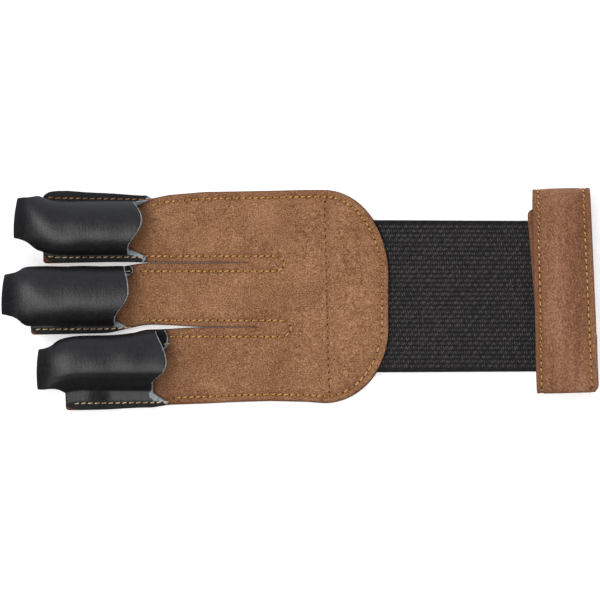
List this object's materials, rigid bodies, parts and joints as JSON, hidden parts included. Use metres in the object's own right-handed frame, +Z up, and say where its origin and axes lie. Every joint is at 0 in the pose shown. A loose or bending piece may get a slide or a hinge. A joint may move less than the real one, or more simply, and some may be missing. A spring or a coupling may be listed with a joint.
{
  "type": "archery glove",
  "caption": "Archery glove lying palm up: smooth leather finger stalls on a suede hand panel, a woven elastic band and a closed wrist strap.",
  "frame": {"origin": "centre of the glove's box, on the surface that it lies on", "axes": "+Z up out of the finger pads, -X towards the fingertips, +X towards the wrist strap, +Y towards the index finger"},
  "size_m": [0.199, 0.074, 0.0147],
  "materials": {
    "suede_outer": "brown suede, matte nap",
    "suede_inner": "brown suede, matte nap",
    "suede_strap": "brown suede, matte nap",
    "stall_leather": "black smooth leather, low sheen",
    "elastic": "black woven elastic, ribbed",
    "tape": "black hook and loop tape"
  },
  "bodies": {
    "root": {"panel_outer": "suede_outer", "panel_inner": "suede_inner", "elastic_band": "elastic", "index_stall": "stall_leather", "middle_stall": "stall_leather", "ring_stall": "stall_leather", "wrist_strap": "suede_strap", "loop_tape": "tape", "hook_tape": "tape"}
  },
  "joints": []
}
